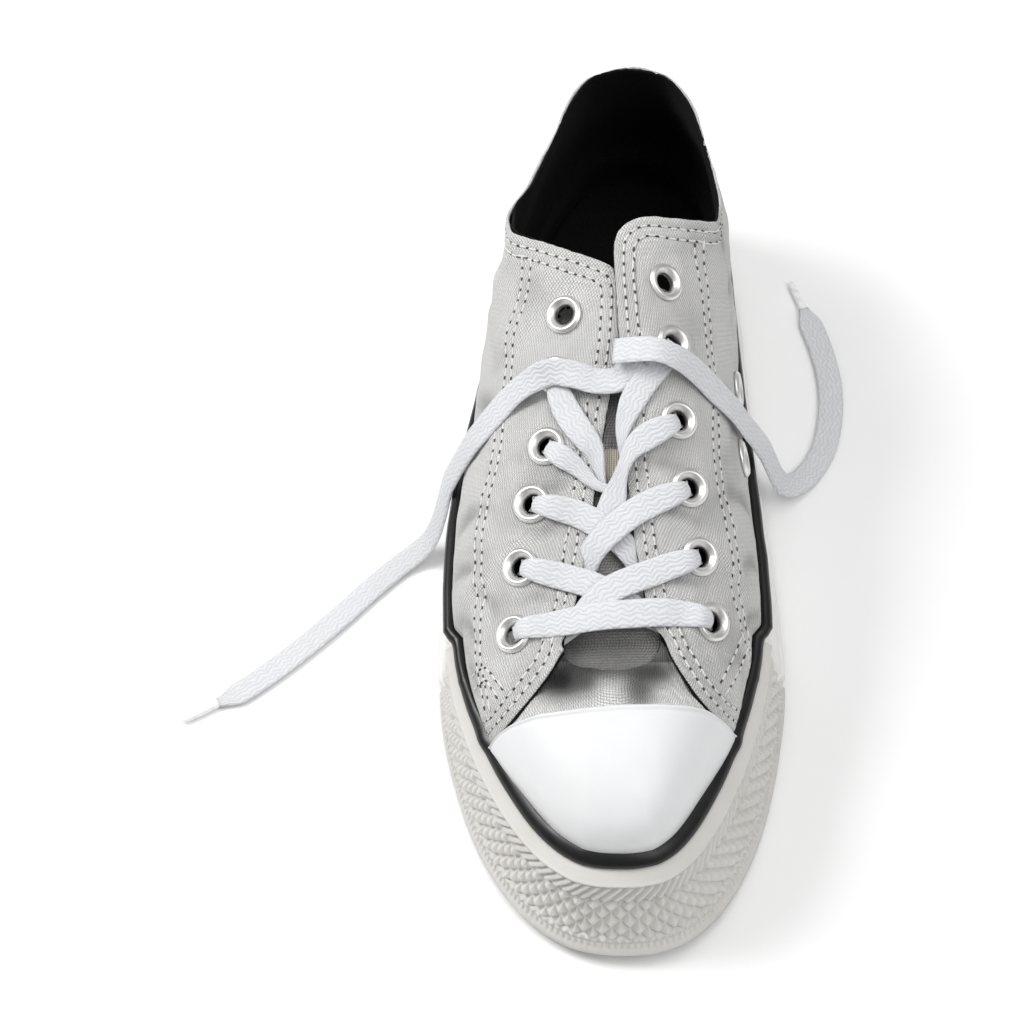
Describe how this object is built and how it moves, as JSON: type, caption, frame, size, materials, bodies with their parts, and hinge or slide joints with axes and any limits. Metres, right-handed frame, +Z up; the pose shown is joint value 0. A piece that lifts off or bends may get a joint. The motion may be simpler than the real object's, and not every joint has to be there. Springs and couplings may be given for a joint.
{
  "type": "canvas sneaker",
  "caption": "Right low-top lace-up canvas sneaker on a thick rubber platform sole, with a toe cap, a ribbed toe bumper, rolled eyelets and a flat lace with loose ends.",
  "frame": {"origin": "on the floor, under the middle of the shoe without its free lace ends", "axes": "+Y towards the heel, toe towards -Y, +X towards the medial (big toe) side, +Z up"},
  "size_m": [0.2071, 0.2773, 0.1064],
  "materials": {
    "sole_rubber": "moulded off-white rubber, matt",
    "midsole_foam": "pale foam rubber, inside",
    "insole_cloth": "black cloth",
    "stripe_rubber": "glossy black rubber",
    "canvas": "light grey cotton canvas, black lining inside",
    "cap_rubber": "smooth white rubber, satin",
    "tongue_canvas": "light grey canvas",
    "webbing": "beige ribbed webbing",
    "nickel": "polished nickel",
    "lace_cotton": "white flat-woven cotton lace",
    "aglet_plastic": "clear to white plastic"
  },
  "bodies": {
    "root": {"aglet_lateral": "aglet_plastic", "aglet_medial": "aglet_plastic", "eyelet_lateral_1": "nickel", "eyelet_lateral_2": "nickel", "eyelet_lateral_3": "nickel", "eyelet_lateral_4": "nickel", "eyelet_lateral_5": "nickel", "eyelet_lateral_6": "nickel", "eyelet_medial_1": "nickel", "eyelet_medial_2": "nickel", "eyelet_medial_3": "nickel", "eyelet_medial_4": "nickel", "eyelet_medial_5": "nickel", "eyelet_medial_6": "nickel", "foxing": "sole_rubber", "insole": "insole_cloth", "lace_end_lateral": "lace_cotton", "lace_end_medial": "lace_cotton", "lace_row_1": "lace_cotton", "lace_row_2": "lace_cotton", "lace_row_3": "lace_cotton", "lace_row_4": "lace_cotton", "lace_row_5": "lace_cotton", "midsole": "midsole_foam", "outsole": "sole_rubber", "stripe": "stripe_rubber", "toe_bumper": "sole_rubber", "toe_cap": "cap_rubber", "toe_rib_band": "sole_rubber", "tongue": "tongue_canvas", "tongue_loop": "webbing", "upper": "canvas", "vent_eyelet_1": "nickel", "vent_eyelet_2": "nickel"}
  },
  "joints": []
}
